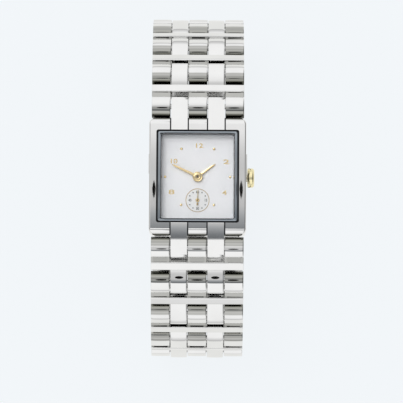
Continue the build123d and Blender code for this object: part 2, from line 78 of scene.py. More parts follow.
# The table and the studio. A pale table top, a white tent of soft light all round with a grey
# gap over the front, as polished steel shows it, and one soft lamp from the upper left.
pale = (0.881, 0.914, 0.940, 1)
pale_mirrored = (0.86, 0.86, 0.84)
table_half = 1.5
table_height = -0.0003
table_grain = 900.0
glow_share = 0.94
tent_level = 1.0
camera_high, camera_wide = 4.0, 3.0
camera_black = (0.004, 0.004, 0.004, 1)
lamp_power = 3.3
lamp_size = 0.7
lamp_place = Vector((-0.38, 0.46, 1.05))
lamp_aim = Vector((-0.38, 0.46, 1.02))


def node(tree, kind, inputs=None, **settings):
    """One shader or geometry node, with its settings made and its inputs set or linked."""
    made = tree.nodes.new(kind)
    for name, value in settings.items():
        setattr(made, name, value)
    for key, value in (inputs or {}).items():
        if isinstance(value, bpy.types.NodeSocket):
            tree.links.new(value, made.inputs[key])
        else:
            made.inputs[key].default_value = value
    return made


def give(tree, kind, inputs=None, **settings):
    """The first output of one new node."""
    return node(tree, kind, inputs, **settings).outputs[0]


def grade(tree, value, stops):
    """A colour ramp from (place, colour) pairs, as a colour socket."""
    made = node(tree, "ShaderNodeValToRGB", {"Fac": value})
    ramp = made.color_ramp
    while len(ramp.elements) < len(stops):
        ramp.elements.new(0.5)
    for element, (place, colour) in zip(ramp.elements, stops):
        element.position = place
        element.color = colour if len(colour) == 4 else (*colour, 1)
    return made.outputs["Color"]


def calc(tree, operation, a, b=None, c=None, clamp=False):
    """One Math node, as a value socket."""
    given = {i: v for i, v in enumerate((a, b, c)) if v is not None}
    return give(tree, "ShaderNodeMath", given, operation=operation, use_clamp=clamp)


def spread(tree, value, low, high, low_gives=0.0, high_gives=1.0):
    """A value carried from one range into another and kept within it, as a value socket."""
    return give(tree, "ShaderNodeMapRange", {"Value": value, "From Min": low, "From Max": high, "To Min": low_gives,
        "To Max": high_gives})


def noise(tree, scale, detail=2.0, roughness=0.5, where=None):
    """A noise of 0 to 1 over the piece's own coordinates or the given ones."""
    if where is None:
        where = node(tree, "ShaderNodeTexCoord").outputs["Object"]
    return node(tree, "ShaderNodeTexNoise", {"Vector": where, "Scale": scale, "Detail": detail,
        "Roughness": roughness}).outputs["Fac"]


world = bpy.data.worlds.new("studio")
bpy.context.scene.world = world
world.use_nodes = True
tree = world.node_tree
tree.nodes.clear()
direction = node(tree, "ShaderNodeTexCoord").outputs["Generated"]
split = node(tree, "ShaderNodeSeparateXYZ", {0: direction})
lean = calc(tree, "ARCTAN2", split.outputs["Y"], split.outputs["Z"])
lean = calc(tree, "DEGREES", lean)
place = calc(tree, "MULTIPLY_ADD", lean, 1 / 180, 0.5)


def at(degrees):
    """The ramp's place of a lean from straight up, towards 12 o'clock when positive."""
    return 0.5 + degrees / 180


def grey(level, tint=0.0):
    """A grey, slightly blue with a positive tint and warm with a negative one."""
    return (level * (1 - tint), level, level * (1 + tint))


tent = grade(tree, place, [(at(-89), grey(0.55)), (at(-76), grey(0.95)), (at(-23.6), grey(0.99)),
    (at(-22.8), grey(0.15, 0.06)), (at(-20), grey(0.22, 0.05)), (at(-15.8), grey(0.38, 0.03)),
    (at(-14.1), grey(0.47, 0.02)), (at(-12.8), grey(0.55)), (at(-9.5), grey(0.60)), (at(-2), grey(0.62)),
    (at(1.6), grey(0.60)), (at(3.3), grey(0.63)), (at(6.5), grey(0.69)), (at(8.7), grey(0.76)), (at(12), grey(0.87)),
    (at(25), grey(0.96)), (at(34), grey(0.99)), (at(76), grey(0.95)), (at(89), grey(0.55))])
right_side = spread(tree, split.outputs["X"], 0.3, 0.45, 1.0, 0.06)
raised = spread(tree, split.outputs["Z"], 0.25, 0.55, 0.4, 1.0)
right_loss = calc(tree, "MULTIPLY", calc(tree, "SUBTRACT", 1.0, right_side), raised)
right_side = calc(tree, "SUBTRACT", 1.0, right_loss)
left_side = spread(tree, split.outputs["X"], -0.85, -0.6, 0.4, 1.0)
sides = calc(tree, "MULTIPLY", right_side, left_side)
tent = give(tree, "ShaderNodeVectorMath", {0: tent, "Scale": sides}, operation="SCALE")
lens_far = calc(tree, "DIVIDE", calc(tree, "ADD", lean, math.degrees(view_tilt)), camera_high)
lens_wide = calc(tree, "DIVIDE", split.outputs["X"], math.sin(math.radians(camera_wide)))
far_square = calc(tree, "MULTIPLY", lens_far, lens_far)
wide_square = calc(tree, "MULTIPLY", lens_wide, lens_wide)
lens_spot = calc(tree, "LESS_THAN", calc(tree, "ADD", far_square, wide_square), 1.0)
tent = node(tree, "ShaderNodeMix", {"Factor": lens_spot, "A": tent, "B": camera_black}, data_type="RGBA").outputs[2]
rays = node(tree, "ShaderNodeLightPath")
shiny = calc(tree, "MAXIMUM", rays.outputs["Is Glossy Ray"], rays.outputs["Is Transmission Ray"])
soft = node(tree, "ShaderNodeMix", {"Factor": shiny, "A": (tent_level, tent_level, tent_level, 1), "B": tent},
    data_type="RGBA").outputs[2]
seen = node(tree, "ShaderNodeMix", {"Factor": rays.outputs["Is Camera Ray"], "A": soft, "B": pale},
    data_type="RGBA").outputs[2]
background = node(tree, "ShaderNodeBackground", {"Color": seen, "Strength": 1.0})
node(tree, "ShaderNodeOutputWorld", {"Surface": background.outputs[0]})

lamp_data = bpy.data.lights.new("soft_lamp", "AREA")
lamp_data.shape = "DISK"
lamp_data.size = lamp_size
lamp_data.energy = lamp_power
lamp = put("soft_lamp", lamp_data)
lamp.matrix_world = Matrix.Translation(lamp_place) @ lamp_aim.to_track_quat("Z", "Y").to_matrix().to_4x4()
lamp.visible_glossy = False

table_mesh = bpy.data.meshes.new("table")
table_corners = ((-1, -1), (1, -1), (1, 1), (-1, 1))
table_mesh.from_pydata([(x * table_half, y * table_half, table_height) for x, y in table_corners], [], [(0, 1, 2, 3)])
table_top = put("table", table_mesh)
table_paint = bpy.data.materials.new("table_paint")
table_paint.use_nodes = True
tree = table_paint.node_tree
rays = node(tree, "ShaderNodeLightPath")
speckle = noise(tree, table_grain)
paint = tree.nodes["Principled BSDF"]
colour = grade(tree, speckle, [(0.3, (0.870, 0.905, 0.931)), (0.7, (0.884, 0.917, 0.942))])
tree.links.new(colour, paint.inputs["Base Color"])
paint.inputs["Roughness"].default_value = 0.9
paint.inputs["Specular IOR Level"].default_value = 0.1
light = grade(tree, rays.outputs["Is Glossy Ray"], [(0.0, pale), (1.0, pale_mirrored)])
glow = node(tree, "ShaderNodeEmission", {"Color": light, "Strength": 1.0})
seen = calc(tree, "MAXIMUM", rays.outputs["Is Camera Ray"], rays.outputs["Is Glossy Ray"])
seen = calc(tree, "MAXIMUM", seen, rays.outputs["Is Transmission Ray"])
share = calc(tree, "MULTIPLY", seen, glow_share)
blend = node(tree, "ShaderNodeMixShader", {0: share, 1: paint.outputs[0], 2: glow.outputs[0]})
tree.links.new(blend.outputs[0], tree.nodes["Material Output"].inputs["Surface"])
table_mesh.materials.append(table_paint)


# Steel. The case, ring, links and clasp are stainless steel, machined and polished bright, with
# the hair marks and faint cloudiness of handling; inner faces keep a fine brushed grain.
def shader_group(name, inputs, outputs):
    """A shader node group with float inputs and the given outputs; gives the tree and its input node."""
    group = bpy.data.node_groups.new(name, "ShaderNodeTree")
    for label, value in inputs.items():
        group.interface.new_socket(label, in_out="INPUT", socket_type="NodeSocketFloat").default_value = value
    for label, kind in outputs.items():
        group.interface.new_socket(label, in_out="OUTPUT", socket_type=kind)
    return group, group.nodes.new("NodeGroupInput").outputs


handling, given = shader_group("handling_marks", {"Mark Size": 900.0, "Stretch": 0.06, "Dullest": 0.14,
    "Brightest": 0.05}, {"Roughness": "NodeSocketFloat", "Height": "NodeSocketFloat", "Tone": "NodeSocketFloat"})
where = node(handling, "ShaderNodeTexCoord").outputs["Object"]
cloud = noise(handling, 160.0, 3.0, where=where)
squeeze = give(handling, "ShaderNodeCombineXYZ", {"X": 1.0, "Y": given["Stretch"], "Z": 1.0})
along = give(handling, "ShaderNodeVectorMath", {0: where, 1: squeeze}, operation="MULTIPLY")
hair = noise(handling, given["Mark Size"], 4.0, 0.7, along)
mixed = calc(handling, "MULTIPLY_ADD", hair, 0.6, calc(handling, "MULTIPLY", cloud, 0.4))
rough = spread(handling, mixed, 0.35, 0.65, given["Brightest"], given["Dullest"])
tone = spread(handling, cloud, 0.3, 0.7)
node(handling, "NodeGroupOutput", {"Roughness": rough, "Height": hair, "Tone": tone})


# A flat face's normals, leant as a slightly crowned face would have them: along the rows, across the
# frame's long sides, with a soft bend near the seconds dial and a lean on the fingers.
crowned, given = shader_group("crowned_face", {
    "Row Radius": 0.1, "Row Middle": 0.0082, "Bend Row": -0.0031, "Bend Length": 0.0008, "Bend Lean": 0.014,
    "Finger Start": 0.01105, "Finger Lean": 0.06, "Face Height": 0.035905, "Flat Above": 0.985,
    "Side Middle": 0.01045, "Side Half": 0.0012, "Side Radius": 0.016}, {"Normal": "NodeSocketVector"})
facing = node(crowned, "ShaderNodeTexCoord")
split = node(crowned, "ShaderNodeSeparateXYZ", {0: facing.outputs["Object"]}).outputs
true_normal = node(crowned, "ShaderNodeNewGeometry").outputs["True Normal"]
true_normal = give(crowned, "ShaderNodeVectorTransform", {0: true_normal}, vector_type="NORMAL", convert_from="WORLD",
    convert_to="OBJECT")
steepness = node(crowned, "ShaderNodeSeparateXYZ", {0: true_normal}).outputs["Z"]
flat = calc(crowned, "GREATER_THAN", steepness, given["Flat Above"])
upward = calc(crowned, "MULTIPLY", flat, calc(crowned, "GREATER_THAN", split["Z"], given["Face Height"]))
aside = calc(crowned, "SUBTRACT", calc(crowned, "ABSOLUTE", split["X"]), given["Side Middle"])
on_side = calc(crowned, "LESS_THAN", calc(crowned, "ABSOLUTE", aside), given["Side Half"])
outward = calc(crowned, "SIGN", split["X"])
lean_x = calc(crowned, "MULTIPLY", calc(crowned, "DIVIDE", aside, given["Side Radius"]), outward)
lean_x = calc(crowned, "MULTIPLY", calc(crowned, "MULTIPLY", lean_x, on_side), upward)
along_rows = calc(crowned, "SUBTRACT", split["Y"], given["Row Middle"])
lean_y = calc(crowned, "MULTIPLY", calc(crowned, "DIVIDE", along_rows, given["Row Radius"]), upward)
past_bend = calc(crowned, "SUBTRACT", split["Y"], given["Bend Row"])
bend = calc(crowned, "TANH", calc(crowned, "DIVIDE", past_bend, given["Bend Length"]))
bend = calc(crowned, "MULTIPLY", calc(crowned, "MULTIPLY", bend, given["Bend Lean"]), upward)
lean_y = calc(crowned, "ADD", lean_y, bend)
beyond = calc(crowned, "GREATER_THAN", calc(crowned, "ABSOLUTE", split["Y"]), given["Finger Start"])
below = calc(crowned, "LESS_THAN", split["Z"], given["Face Height"])
on_finger = calc(crowned, "MULTIPLY", beyond, below)
lean_x = calc(crowned, "ADD", lean_x, calc(crowned, "MULTIPLY", on_finger, given["Finger Lean"]))
lean = give(crowned, "ShaderNodeCombineXYZ", {"X": lean_x, "Y": lean_y})
swayed = give(crowned, "ShaderNodeVectorMath", {0: facing.outputs["Normal"], 1: lean}, operation="ADD")
swayed = give(crowned, "ShaderNodeVectorMath", {0: swayed}, operation="NORMALIZE")
swayed = give(crowned, "ShaderNodeVectorTransform", {0: swayed}, vector_type="NORMAL", convert_from="OBJECT",
    convert_to="WORLD")
node(crowned, "NodeGroupOutput", {"Normal": swayed})


mark_depth = 0.00002
# Painted shade and painted dark reflection: this ramp turns the links' stored shade value into a darker steel colour
# on the knuckle noses and the groove floors.
painted_shade_ramp = [(0.0, (1, 1, 1)), (0.60, (1, 1, 1)), (0.66, (0.52, 0.52, 0.50)), (0.74, (0.62, 0.62, 0.60)),
    (0.80, (0.42, 0.42, 0.40)), (0.86, (0.55, 0.55, 0.52)), (0.92, (0.40, 0.40, 0.36)), (0.955, (0.12, 0.12, 0.10)),
    (1.0, (0.05, 0.05, 0.04))]


def metal(name, dark_tone, light_tone, brightest, dullest, mark_size, stretch, bump, crown_middle=0,
        face_height=0.035905, with_painted_shade=False):
    """A metal of softly varied tone and gloss, with hair marks; its flat top may be a little crowned, and its colour
    may carry a painted shade.
    """
    made = bpy.data.materials.new(name)
    made.use_nodes = True
    tree = made.node_tree
    marks = node(tree, "ShaderNodeGroup", node_tree=handling)
    for label, value in (("Mark Size", mark_size), ("Stretch", stretch), ("Dullest", dullest),
            ("Brightest", brightest)):
        marks.inputs[label].default_value = value
    body = tree.nodes["Principled BSDF"]
    body.inputs["Metallic"].default_value = 1.0
    colour = grade(tree, marks.outputs["Tone"], [(0.0, dark_tone), (1.0, light_tone)])
    # Painted shade: the colour is multiplied darker where the links store their painted shade value.
    if with_painted_shade:
        painted_shade_amount = node(tree, "ShaderNodeAttribute", attribute_name="painted_recess_shade").outputs["Fac"]
        shade = grade(tree, painted_shade_amount, painted_shade_ramp)
        colour = give(tree, "ShaderNodeVectorMath", {0: colour, 1: shade}, operation="MULTIPLY")
    tree.links.new(colour, body.inputs["Base Color"])
    tree.links.new(marks.outputs["Roughness"], body.inputs["Roughness"])
    height = marks.outputs["Height"]
    relief = node(tree, "ShaderNodeBump", {"Strength": bump, "Distance": mark_depth, "Height": height})
    if crown_middle:
        face = node(tree, "ShaderNodeGroup", node_tree=crowned)
        face.inputs["Side Middle"].default_value = crown_middle
        face.inputs["Face Height"].default_value = face_height
        tree.links.new(face.outputs[0], relief.inputs["Normal"])
    tree.links.new(relief.outputs[0], body.inputs["Normal"])
    return made


# The polished steel carries the links' painted shade on their knuckle noses and in their grooves.
polished_steel = metal("polished_steel_finish", (0.86, 0.86, 0.855), (0.91, 0.91, 0.905), 0.015, 0.045, 1400.0, 0.08,
    0.04, with_painted_shade=True)
brushed_steel = metal("brushed_steel_finish", (0.60, 0.60, 0.60), (0.74, 0.74, 0.735), 0.22, 0.38, 3200.0, 0.03, 0.25)


# Bracelet links. Fourteen alike, milled from steel bar and polished: three bead-like knuckles on
# one pin, a band across them all, and two fingers that reach between the next link's knuckles.
link_places = [(0.0169, 0.0337195), (0.0250324, 0.0316163), (0.0319963, 0.0269191), (0.0373958, 0.0204843),
    (0.0397111, 0.0124096), (0.0361611, 0.0047967), (0.0283727, 0.00165)]
link_slopes = (14.5, 34, 50, 74, 115, 158, 180)
# Painted shade: how dark each link's knuckle noses are painted, less on the far links; the Web Shade size paints the
# groove floors grey.
nose_shades = (1.0, 0.97, 0.94, 0.86, 0.6, 0.6, 0.6)
finger_ends = (0.0111, 0.0111, 0.0111, 0.01085, 0.01085, 0.01085, 0.01085)
link_edge = 0.00016
link_sizes = {"Pin Row": 0.0, "Pin Height": 0.0, "Slope": 0.0, "Side Turn": 0.0, "Half Height": 0.00165,
    "Full Width": 0.022, "Knuckle Width": 0.00445, "Knuckle Reach": 0.00245, "Knuckle Rise": 0.0013,
    "Knuckle Round": 0.0005, "Finger Width": 0.0039, "Finger Start": 0.00385, "Finger End": 0.01085,
    "Finger Rise": 0.0011, "Finger Drop": 0.00008, "Finger Round": 0.0006, "Band Start": 0.0033, "Band End": 0.00525,
    "Band Fall": 0.0003, "Band Round": 0.00022, "Pin Hole": 0.0006, "Drill Overrun": 0.002, "Web Start": 0.0016,
    "Web Overlap": 0.0005, "Web Top": 0.0011, "Web Round": 0.00005, "Web Shade": 0.70, "Crest": 0.25,
    "Nose Shade": 1.0}


def geometry_group(name, inputs):
    """A geometry node group with named float inputs; gives the tree and its input node's sockets."""
    group = bpy.data.node_groups.new(name, "GeometryNodeTree")
    for label, value in inputs.items():
        group.interface.new_socket(label, in_out="INPUT", socket_type="NodeSocketFloat").default_value = value
    group.interface.new_socket("Geometry", in_out="OUTPUT", socket_type="NodeSocketGeometry")
    return group, group.nodes.new("NodeGroupInput").outputs


def triple(tree, x=0.0, y=0.0, z=0.0):
    """A vector from three values or sockets."""
    return give(tree, "ShaderNodeCombineXYZ", {"X": x, "Y": y, "Z": z})


def here(tree):
    """The position's three parts."""
    return node(tree, "ShaderNodeSeparateXYZ", {0: give(tree, "GeometryNodeInputPosition")}).outputs


# One bar of a link: its side outline, crowned on top, swept across its width and lowered a hair towards its sides.
bar, given = geometry_group("link_bar", {"Start": -0.00245, "End": 0.00245, "Top": 0.00165, "Round": 0.0009,
    "Rise": 0.00045, "Width": 0.00445, "Underside": -0.00165, "Cross Rise": 0.00005, "Crest": 0.0, "Fall": 0.0,
    "Nose Shade": 0.0, "Even Shade": 0.0})
shoulder = calc(bar, "SUBTRACT", given["Top"], given["Rise"])
corners = ((given["Start"], given["Underside"]), (given["End"], given["Underside"]), (given["End"], shoulder),
    (given["Start"], shoulder))
points = {f"Point {i}": triple(bar, *corner) for i, corner in enumerate(corners, 1)}
outline = give(bar, "GeometryNodeCurvePrimitiveQuadrilateral", points, mode="POINTS")
outline = give(bar, "GeometryNodeFilletCurve", {"Curve": outline, "Radius": given["Round"], "Count": 8,
    "Limit Radius": True}, mode="POLY")
outline = give(bar, "GeometryNodeResampleCurve", {"Curve": outline, "Count": 72}, mode="COUNT")
spot = here(bar)
middle = calc(bar, "MULTIPLY", calc(bar, "ADD", given["Start"], given["End"]), 0.5)
reach = calc(bar, "MULTIPLY", calc(bar, "SUBTRACT", given["End"], given["Start"]), 0.5)
share = calc(bar, "DIVIDE", calc(bar, "SUBTRACT", spot[0], middle), reach)
away = calc(bar, "DIVIDE", calc(bar, "SUBTRACT", share, given["Crest"]), calc(bar, "ADD", given["Crest"], 1.0))
swell = calc(bar, "MULTIPLY", calc(bar, "SUBTRACT", 1.0, calc(bar, "MULTIPLY", away, away)), given["Rise"])
swell = calc(bar, "SUBTRACT", swell, calc(bar, "MULTIPLY", calc(bar, "MULTIPLY_ADD", share, 0.5, 0.5), given["Fall"]))
above = spread(bar, spot[1], 0.0, shoulder)
swell = triple(bar, 0.0, calc(bar, "MULTIPLY", swell, above))
outline = give(bar, "GeometryNodeSetPosition", {"Geometry": outline, "Offset": swell})
# Painted shade: a value rising towards the bar's nose end, scaled and lifted by the Nose Shade and Even Shade, is
# stored on the bar and darkens its colour.
nose = calc(bar, "MULTIPLY_ADD", share, -0.5, 0.5, True)
shade = calc(bar, "MULTIPLY_ADD", nose, given["Nose Shade"], given["Even Shade"])
half_width = calc(bar, "MULTIPLY", given["Width"], 0.5)
minus_half = calc(bar, "MULTIPLY", half_width, -1.0)
rail = give(bar, "GeometryNodeCurvePrimitiveLine", {"Start": triple(bar, 0.0, 0.0, minus_half),
    "End": triple(bar, 0.0, 0.0, half_width)})
rail = give(bar, "GeometryNodeResampleCurve", {"Curve": rail, "Count": 7}, mode="COUNT")
solid = give(bar, "GeometryNodeCurveToMesh", {"Curve": rail, "Profile Curve": outline, "Fill Caps": True})
solid = give(bar, "GeometryNodeStoreNamedAttribute", {"Geometry": solid, "Name": "painted_recess_shade", "Value": shade})
spot = here(bar)
aside = calc(bar, "DIVIDE", spot[2], half_width)
dip = calc(bar, "MULTIPLY", calc(bar, "MULTIPLY", aside, aside), given["Cross Rise"])
dip = calc(bar, "MULTIPLY", dip, calc(bar, "GREATER_THAN", spot[1], 0.0))
across = triple(bar, spot[2], spot[0], calc(bar, "SUBTRACT", spot[1], dip))
solid = give(bar, "GeometryNodeSetPosition", {"Geometry": solid, "Position": across})
node(bar, "NodeGroupOutput", {"Geometry": solid})

# The whole link: bars repeated over their columns, a pin hole through the knuckles, then put in its place.
link, given = geometry_group("bracelet_link", link_sizes)


def columns(tree, shape, count):
    """The same bar in so many columns: three from edge to edge, two between them, or one in the middle."""
    span = calc(tree, "SUBTRACT", given["Full Width"], given["Knuckle Width"])
    step = calc(tree, "MULTIPLY", span, 0.5)
    start = calc(tree, "MULTIPLY", step, -0.5 * (count - 1))
    line = give(tree, "GeometryNodeMeshLine", {"Count": count, "Start Location": triple(tree, start),
        "Offset": triple(tree, step)}, mode="OFFSET")
    placed = give(tree, "GeometryNodeInstanceOnPoints", {"Points": line, "Instance": shape})
    return give(tree, "GeometryNodeRealizeInstances", {"Geometry": placed})


def bar_node(start, end, rounding, rise, width, top=None, cross=0.00005, crest=0.0, fall=0.0, nose=0.0, even=0.0):
    """One bar with its sizes linked or set."""
    sizes = {"Start": start, "End": end, "Top": given["Half Height"] if top is None else top, "Round": rounding,
        "Rise": rise, "Width": width, "Underside": calc(link, "MULTIPLY", given["Half Height"], -1.0),
        "Cross Rise": cross, "Crest": crest, "Fall": fall, "Nose Shade": nose, "Even Shade": even}
    return give(link, "GeometryNodeGroup", sizes, node_tree=bar)


minus_reach = calc(link, "MULTIPLY", given["Knuckle Reach"], -1.0)
knuckle = bar_node(minus_reach, given["Knuckle Reach"], given["Knuckle Round"], given["Knuckle Rise"],
    given["Knuckle Width"], crest=given["Crest"], nose=given["Nose Shade"])
knuckles = columns(link, knuckle, 3)
drill_long = calc(link, "ADD", given["Full Width"], given["Drill Overrun"])
drill = give(link, "GeometryNodeMeshCylinder", {"Vertices": 28, "Radius": given["Pin Hole"], "Depth": drill_long})
drill = give(link, "GeometryNodeTransform", {"Geometry": drill, "Rotation": (0, math.pi / 2, 0)})
knuckles = give(link, "GeometryNodeMeshBoolean", {"Mesh 1": knuckles, "Mesh 2": drill}, operation="DIFFERENCE",
    solver="EXACT")
web_end = calc(link, "ADD", given["Band Start"], given["Web Overlap"])
web = bar_node(given["Web Start"], web_end, given["Web Round"], 0.0, given["Knuckle Width"], given["Web Top"], 0.0,
    even=given["Web Shade"])
webs = columns(link, web, 3)
finger_top = calc(link, "SUBTRACT", given["Half Height"], given["Finger Drop"])
finger = bar_node(given["Finger Start"], given["Finger End"], given["Finger Round"], given["Finger Rise"],
    given["Finger Width"], finger_top, crest=given["Crest"])
fingers = columns(link, finger, 2)
band = bar_node(given["Band Start"], given["Band End"], given["Band Round"], 0.0, given["Full Width"],
    fall=given["Band Fall"])
whole = link.nodes.new("GeometryNodeJoinGeometry")
for shape in (knuckles, webs, fingers, band):
    link.links.new(shape, whole.inputs[0])
down = calc(link, "RADIANS", calc(link, "MULTIPLY", given["Slope"], -1.0))
leant = give(link, "GeometryNodeTransform", {"Geometry": whole.outputs[0], "Rotation": triple(link, down),
    "Translation": triple(link, 0.0, given["Pin Row"], given["Pin Height"])})
about = triple(link, 0.0, 0.0, given["Side Turn"])
about = give(link, "GeometryNodeTransform", {"Geometry": leant, "Rotation": about})
realized = give(link, "GeometryNodeRealizeInstances", {"Geometry": about})
finished = give(link, "GeometryNodeSetMaterial", {"Geometry": realized, "Material": polished_steel})
node(link, "NodeGroupOutput", {"Geometry": finished})


def frozen(host):
    """An object's shape with its modifiers carried out, as plain mesh."""
    bpy.context.view_layer.update()
    return bpy.data.meshes.new_from_object(host.evaluated_get(bpy.context.evaluated_depsgraph_get()))


def finish_edges(piece, bevel):
    """Breaks a piece's sharp edges and evens its shading, as plain mesh."""
    if bevel:
        edge = piece.modifiers.new("edge", "BEVEL")
        edge.width, edge.segments, edge.limit_method, edge.angle_limit = bevel, 2, "ANGLE", math.radians(38)
        edge.use_clamp_overlap = True
    for face in piece.data.polygons:
        face.use_smooth = True
    evened = piece.modifiers.new("evened", "WEIGHTED_NORMAL")
    evened.keep_sharp = False
    evened.weight = 80
    shaped = frozen(piece)
    piece.modifiers.clear()
    piece.data = shaped
    shaped.name = piece.name


def grown(name, group, sizes):
    """A piece from a geometry node group, with its sizes set by their names, as plain mesh."""
    host = put(name, bpy.data.meshes.new(name))
    shape = host.modifiers.new("shape", "NODES")
    shape.node_group = group
    for item in group.interface.items_tree:
        if item.item_type == "SOCKET" and item.in_out == "INPUT" and item.name in sizes:
            shape[item.identifier] = sizes[item.name]
    shaped = frozen(host)
    host.modifiers.clear()
    host.data = shaped
    return host


for side, side_turn in (("upper", 0.0), ("lower", math.pi)):
    for number, ((row, height), slope) in enumerate(zip(link_places, link_slopes), 1):
        piece = grown(f"{side}_link_{number}_body", link, {
            "Pin Row": row, "Pin Height": height, "Slope": float(slope), "Side Turn": side_turn,
            "Nose Shade": nose_shades[number - 1], "Finger End": finger_ends[number - 1]})
        finish_edges(piece, link_edge)
        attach(piece, f"{side}_link_{number}")
        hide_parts(f"{side}_link_{number}")


# The case. A steel frame milled from one block and polished, with a sunk seat for the ring and two
# fingers at each end; its edges are just broken, and the frame's broad faces keep a faint grain.
def smoothed(name, new_name, bevel, material, body, reshape=None):
    """A copy of a CAD node's mesh, made whole, with its flat faces cleared and its edges broken."""
    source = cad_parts[name]
    mesh = source.data.copy()
    mesh.transform(source.matrix_world)
    mesh.name = new_name
    shape = bmesh.new()
    shape.from_mesh(mesh)
    bmesh.ops.remove_doubles(shape, verts=shape.verts, dist=0.000002)
    bmesh.ops.dissolve_degenerate(shape, edges=shape.edges, dist=0.000001)
    bmesh.ops.dissolve_limit(shape, angle_limit=math.radians(0.4), verts=shape.verts, edges=shape.edges)
    bmesh.ops.recalc_face_normals(shape, faces=shape.faces)
    if reshape:
        reshape(shape)
    shape.to_mesh(mesh)
    shape.free()
    mesh.materials.clear()
    mesh.materials.append(material)
    for face in mesh.polygons:
        face.material_index = 0
    piece = put(new_name, mesh)
    finish_edges(piece, bevel)
    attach(piece, body)
    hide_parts(name)
    return piece


grain_depth = 0.00001


def plain(name, dark_tone, light_tone, dullest, brightest, scale, bump, specular=0.5):
    """A material that isn't metal, its tone and gloss broken by a fine noise."""
    made = bpy.data.materials.new(name)
    made.use_nodes = True
    tree = made.node_tree
    body = tree.nodes["Principled BSDF"]
    body.inputs["Specular IOR Level"].default_value = specular
    grain = noise(tree, scale, 3.0)
    tree.links.new(grade(tree, grain, [(0.3, dark_tone), (0.7, light_tone)]), body.inputs["Base Color"])
    tree.links.new(spread(tree, grain, 0.0, 1.0, brightest, dullest), body.inputs["Roughness"])
    relief = node(tree, "ShaderNodeBump", {"Strength": bump, "Distance": grain_depth, "Height": grain})
    tree.links.new(relief.outputs[0], body.inputs["Normal"])
    return made


def curve_fingers(shape):
    """Rounds the tops of the case's fingers over an arc instead of two flats."""
    for end in (-1, 1):
        for cut in range(1, finger_cuts):
            whole = list(shape.verts) + list(shape.edges) + list(shape.faces)
            row = end * (finger_start + finger_cut_step * cut)
            bmesh.ops.bisect_plane(shape, geom=whole, plane_co=(0, row, 0), plane_no=(0, 1, 0))
    for point in shape.verts:
        x, y, z = abs(point.co.x), abs(point.co.y), point.co.z
        if abs(x - finger_column) > finger_half + finger_slack or y < finger_start:
            continue
        flat = case_top - (min(y, finger_bend) - finger_start) * finger_first_fall
        flat -= max(y - finger_bend, 0) * finger_second_fall
        if abs(z - flat) < flat_slack:
            fall = math.cos(finger_start_lean) - math.sqrt(1 - ((y - finger_arc_row) / finger_arc) ** 2)
            point.co.z = case_top - finger_arc * fall


case_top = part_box("case")[1].z
case_edge = 0.00012
finger_column = 0.0043875
finger_half = 0.00195
finger_start = 0.0111
finger_bend = 0.0151
finger_cuts, finger_cut_step = 14, 0.0006
finger_slack, flat_slack = 0.00004, 0.00006
finger_first_fall = 0.19
finger_second_fall = math.tan(math.radians(16))
finger_arc = 0.041
finger_start_lean = math.radians(9)
finger_arc_row = finger_start - finger_arc * math.sin(finger_start_lean)
case_steel = metal("case_steel_finish", (0.86, 0.86, 0.855), (0.90, 0.90, 0.895), 0.03, 0.07, 2200.0, 0.05, 0.04,
    0.01045)
case_piece = smoothed("case", "case_body", case_edge, case_steel, "case", curve_fingers)

# The seat behind the ring and the slots beside the fingers are coloured near black, a painted shade for the deep gaps
# there.
seat_x, seat_y, seat_bottom, seat_lip = 0.00986, 0.01111, 0.0345, 0.00008
slot_slack, slot_wide, slot_lip = 0.00005, 0.00037, 0.0003
slot_start, slot_end = finger_start - 0.0001, 0.0142
seat_painted_shade = plain("seat_painted_shadow", (0.022, 0.025, 0.030), (0.040, 0.045, 0.052), 0.55, 0.35, 3000.0, 0.1, 0.3)
case_piece.data.materials.append(seat_painted_shade)
for face in case_piece.data.polygons:
    middle = face.center
    beside = abs(abs(middle.x) - finger_column) - finger_half
    in_seat = abs(middle.x) < seat_x and abs(middle.y) < seat_y and seat_bottom < middle.z < case_top - seat_lip
    in_slot = -slot_slack < beside < slot_wide and slot_start < abs(middle.y) < slot_end
    if in_seat or in_slot and seat_bottom < middle.z < case_top - slot_lip:
        face.material_index = 1


# The bezel ring. A separate polished ring around the crystal, standing in the seat behind a dark gap; its steel is
# coloured bluer and darker than the frame's as a painted shade, and its edges are rounded.
def meshed(name, shape, material):
    """A new piece from a finished bmesh, its faces turned outward."""
    bmesh.ops.recalc_face_normals(shape, faces=shape.faces)
    mesh = bpy.data.meshes.new(name)
    shape.to_mesh(mesh)
    shape.free()
    mesh.materials.append(material)
    return put(name, mesh)


def layered(name, layers, material, closed_ring=False, steps=7):
    """A rounded rectangle carried through layers of (half width, half length, corner, height)."""
    shape = bmesh.new()
    loops = []
    for half_x, half_y, corner, height in layers:
        loop = []
        for quarter, (sx, sy) in enumerate(((1, 1), (-1, 1), (-1, -1), (1, -1))):
            for step in range(steps + 1):
                angle = math.pi / 2 * (quarter + step / steps)
                x = sx * (half_x - corner) + corner * math.cos(angle)
                y = sy * (half_y - corner) + corner * math.sin(angle)
                loop.append(shape.verts.new((x, y, height)))
        loops.append(loop)
    pairs = list(zip(loops, loops[1:] + loops[:1])) if closed_ring else list(zip(loops, loops[1:]))
    for low, high in pairs:
        for i in range(len(low)):
            j = (i + 1) % len(low)
            shape.faces.new((low[i], low[j], high[j], high[i]))
    if not closed_ring:
        shape.faces.new(list(reversed(loops[0])))
        shape.faces.new(loops[-1])
    return meshed(name, shape, material)


def placed(piece, body, slot, replaced=None):
    """Hands a finished piece to the frame."""
    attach(piece, body)
    if replaced:
        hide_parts(replaced)


